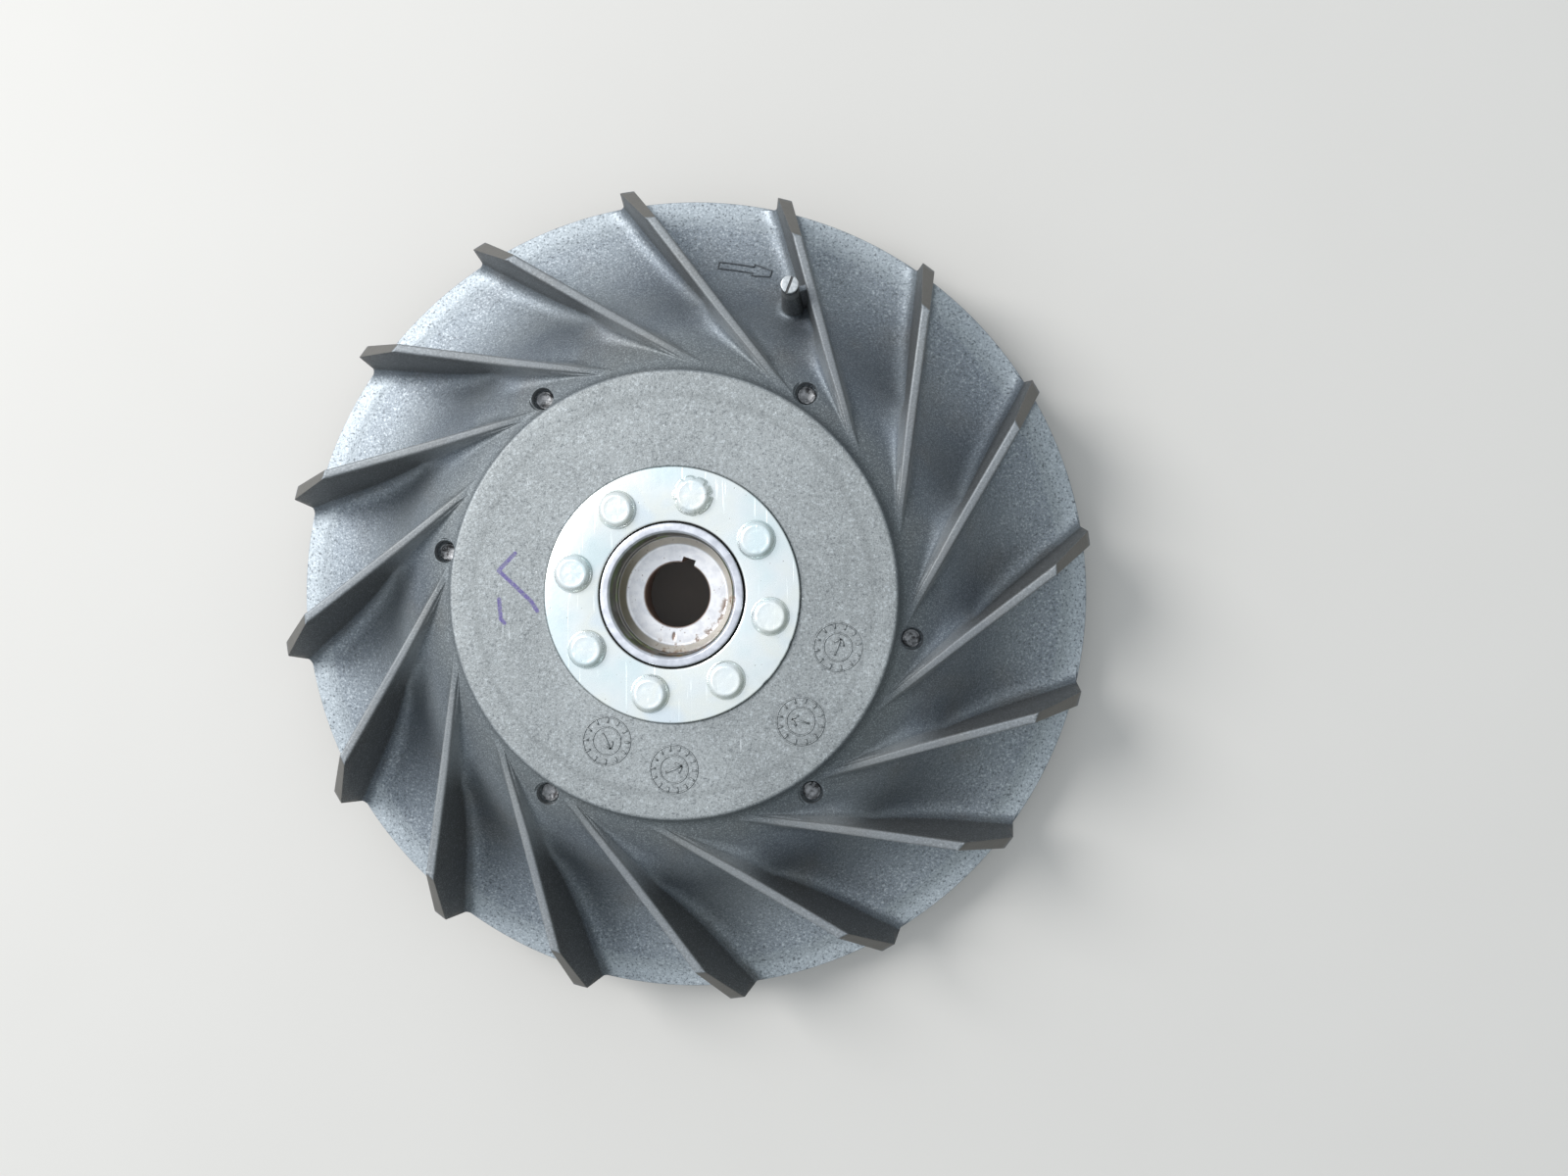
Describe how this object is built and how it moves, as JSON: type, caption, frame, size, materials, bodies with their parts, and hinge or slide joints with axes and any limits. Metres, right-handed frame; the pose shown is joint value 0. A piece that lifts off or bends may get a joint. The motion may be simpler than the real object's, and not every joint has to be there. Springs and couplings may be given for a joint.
{
  "type": "flywheel",
  "caption": "Cast aluminium fan flywheel with backward-leaning blades, riveted steel taper hub and a magnet ring behind its dome.",
  "frame": {"origin": "on the axis of the taper bore, in the plane of the skirt's rear edge, on which the flywheel stands", "axes": "+Z along the axis towards the fan side; seen from there the fan turns clockwise, and the cast arrow lies close to +Y"},
  "size_m": [0.196, 0.196, 0.0486],
  "materials": {
    "cast_aluminium": "shot-blasted die casting, satin",
    "hub_steel": "turned steel, oiled, light rust stains",
    "zinc_plate": "bright zinc plating, lightly scratched",
    "zinc_rivet": "bright zinc plating, peened",
    "yoke_steel": "drawn steel, plated grey",
    "ferrite": "sintered ferrite, matt",
    "ring_rivet_steel": "plain steel, dull",
    "peg_steel": "plain steel, bright end"
  },
  "bodies": {
    "root": {"fan_casting": "cast_aluminium", "steel_hub": "hub_steel", "rivet_plate": "zinc_plate", "yoke_ring": "yoke_steel", "slotted_peg": "peg_steel", "hub_rivet_1": "zinc_rivet", "hub_rivet_2": "zinc_rivet", "hub_rivet_3": "zinc_rivet", "hub_rivet_4": "zinc_rivet", "hub_rivet_5": "zinc_rivet", "hub_rivet_6": "zinc_rivet", "hub_rivet_7": "zinc_rivet", "hub_rivet_8": "zinc_rivet", "magnet_1": "ferrite", "magnet_2": "ferrite", "magnet_3": "ferrite", "magnet_4": "ferrite", "magnet_5": "ferrite", "magnet_6": "ferrite", "ring_rivet_1": "ring_rivet_steel", "ring_rivet_2": "ring_rivet_steel", "ring_rivet_3": "ring_rivet_steel", "ring_rivet_4": "ring_rivet_steel", "ring_rivet_5": "ring_rivet_steel", "ring_rivet_6": "ring_rivet_steel"}
  },
  "joints": []
}
